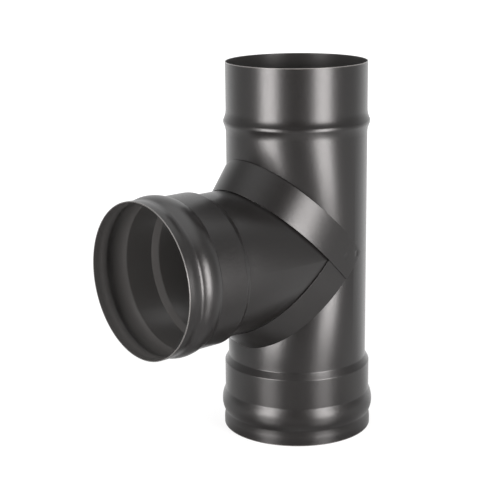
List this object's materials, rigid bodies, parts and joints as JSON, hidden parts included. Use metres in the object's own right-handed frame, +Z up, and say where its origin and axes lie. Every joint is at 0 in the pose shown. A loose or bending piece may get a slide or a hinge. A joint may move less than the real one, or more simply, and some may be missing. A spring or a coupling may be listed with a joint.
{
  "type": "flue tee",
  "caption": "Single-wall enamelled steel flue tee: straight run with a beaded spigot on top and a socket below, and a level socketed branch joined by lapped saddle strips.",
  "frame": {"origin": "centre of the bottom socket's mouth, on the plane of its rim, where the run's axis meets it", "axes": "+Z up along the run's axis towards the spigot; -X along the branch's axis, out of its mouth; +Y completes the right-handed frame"},
  "size_m": [0.2346, 0.1322, 0.32],
  "materials": {
    "black_enamel": "satin"
  },
  "bodies": {
    "root": {"main_pipe": "black_enamel", "branch_pipe": "black_enamel", "upper_saddle_strip": "black_enamel", "lower_saddle_strip": "black_enamel"}
  },
  "joints": []
}
